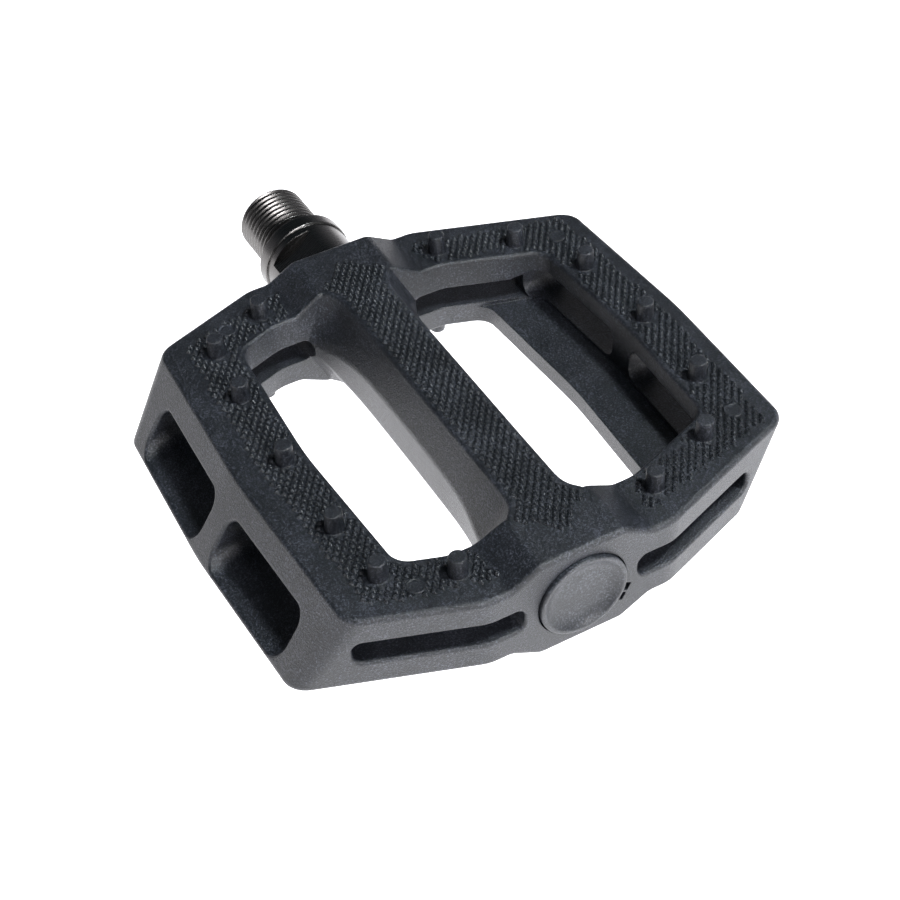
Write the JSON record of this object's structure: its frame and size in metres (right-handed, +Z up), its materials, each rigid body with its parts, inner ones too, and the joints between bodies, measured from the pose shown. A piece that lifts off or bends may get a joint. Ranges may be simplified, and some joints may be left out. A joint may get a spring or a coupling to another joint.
{
  "type": "flat pedal",
  "caption": "Flat bicycle pedal: moulded open platform with short grip pins, turning on a threaded steel spindle with a bush, ball bearings, seal and end cap.",
  "frame": {"origin": "on the spindle's axis, in the plane where its flange seats against the crank arm", "axes": "+X outboard along the spindle, +Y forward, +Z up with the platform level"},
  "size_m": [0.1216, 0.1002, 0.0234],
  "materials": {
    "platform_nylon": "fine grained, slightly satin",
    "cap_nylon": "satin",
    "spindle_steel": "satin turned",
    "bearing_steel": "ground",
    "ball_steel": "polished",
    "shield_steel": "pressed sheet",
    "cage_nylon": "moulded",
    "bush_polymer": "self-lubricating, matt",
    "seal_rubber": "matt",
    "plated_steel": "zinc plated",
    "insert_nylon": "natural nylon"
  },
  "bodies": {
    "spindle": {"spindle": "spindle_steel", "inner_bearing_inner_ring": "bearing_steel", "outer_bearing_inner_ring": "bearing_steel", "nut_washer": "plated_steel", "lock_nut": "plated_steel", "lock_nut_insert": "insert_nylon"},
    "platform": {"pedal_body": "platform_nylon", "plain_bush": "bush_polymer", "dust_seal": "seal_rubber", "inner_bearing_outer_ring": "bearing_steel", "inner_bearing_inboard_shield": "shield_steel", "inner_bearing_outboard_shield": "shield_steel", "outer_bearing_outer_ring": "bearing_steel", "outer_bearing_inboard_shield": "shield_steel", "outer_bearing_outboard_shield": "shield_steel", "end_cap": "cap_nylon"},
    "inner_ball_set": {"inner_bearing_balls": "ball_steel", "inner_bearing_cage": "cage_nylon"},
    "outer_ball_set": {"outer_bearing_balls": "ball_steel", "outer_bearing_cage": "cage_nylon"}
  },
  "joints": [
    {"name": "platform_spin", "type": "hinge", "parent": "spindle", "child": "platform", "pos_m": [0.06, 0, 0], "axis": [1, 0, 0], "continuous": true},
    {"name": "inner_ball_set_spin", "type": "hinge", "parent": "spindle", "child": "inner_ball_set", "pos_m": [0.0865, 0, 0], "axis": [1, 0, 0], "continuous": true},
    {"name": "outer_ball_set_spin", "type": "hinge", "parent": "spindle", "child": "outer_ball_set", "pos_m": [0.0915, 0, 0], "axis": [1, 0, 0], "continuous": true}
  ],
  "couplings": [
    {"joint": "inner_ball_set_spin", "follows": "platform_spin", "ratio": 0.5984},
    {"joint": "outer_ball_set_spin", "follows": "platform_spin", "ratio": 0.5984}
  ]
}
